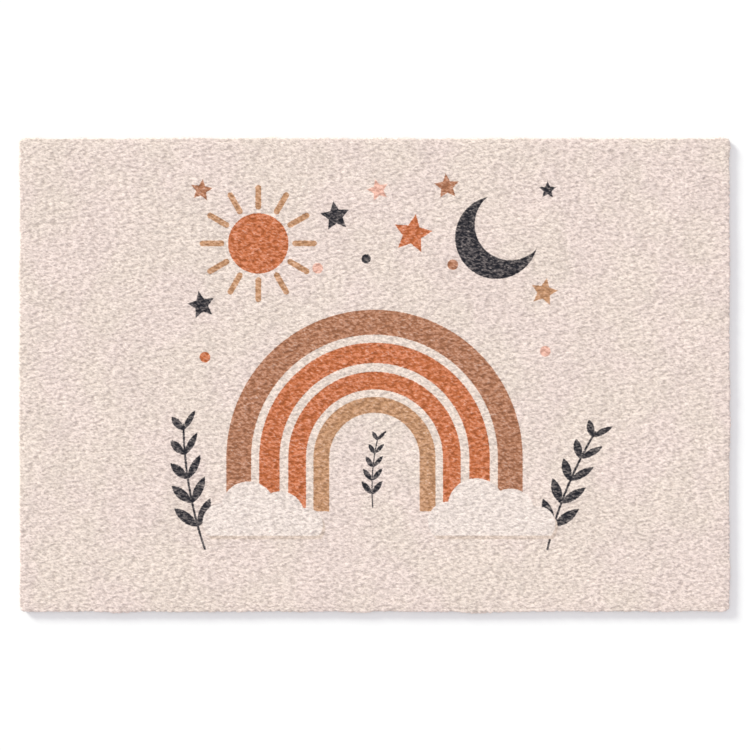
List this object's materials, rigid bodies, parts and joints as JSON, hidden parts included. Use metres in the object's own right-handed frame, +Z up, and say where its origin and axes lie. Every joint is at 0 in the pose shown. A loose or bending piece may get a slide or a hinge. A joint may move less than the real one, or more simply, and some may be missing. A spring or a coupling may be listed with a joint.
{
  "type": "nursery rug",
  "caption": "Flat rectangular short-pile nursery rug, one cut length of printed cloth with nearly square corners, lying on the floor.",
  "frame": {"origin": "middle of the flat underside", "axes": "+X along the long side, +Y along the short side towards the print's upper edge, +Z up out of the pile"},
  "size_m": [1.2, 0.8, 0.01],
  "materials": {
    "pile": "matt short pile, cream with a warm blush, printed on top"
  },
  "bodies": {
    "root": {"rug": "pile"}
  },
  "joints": []
}
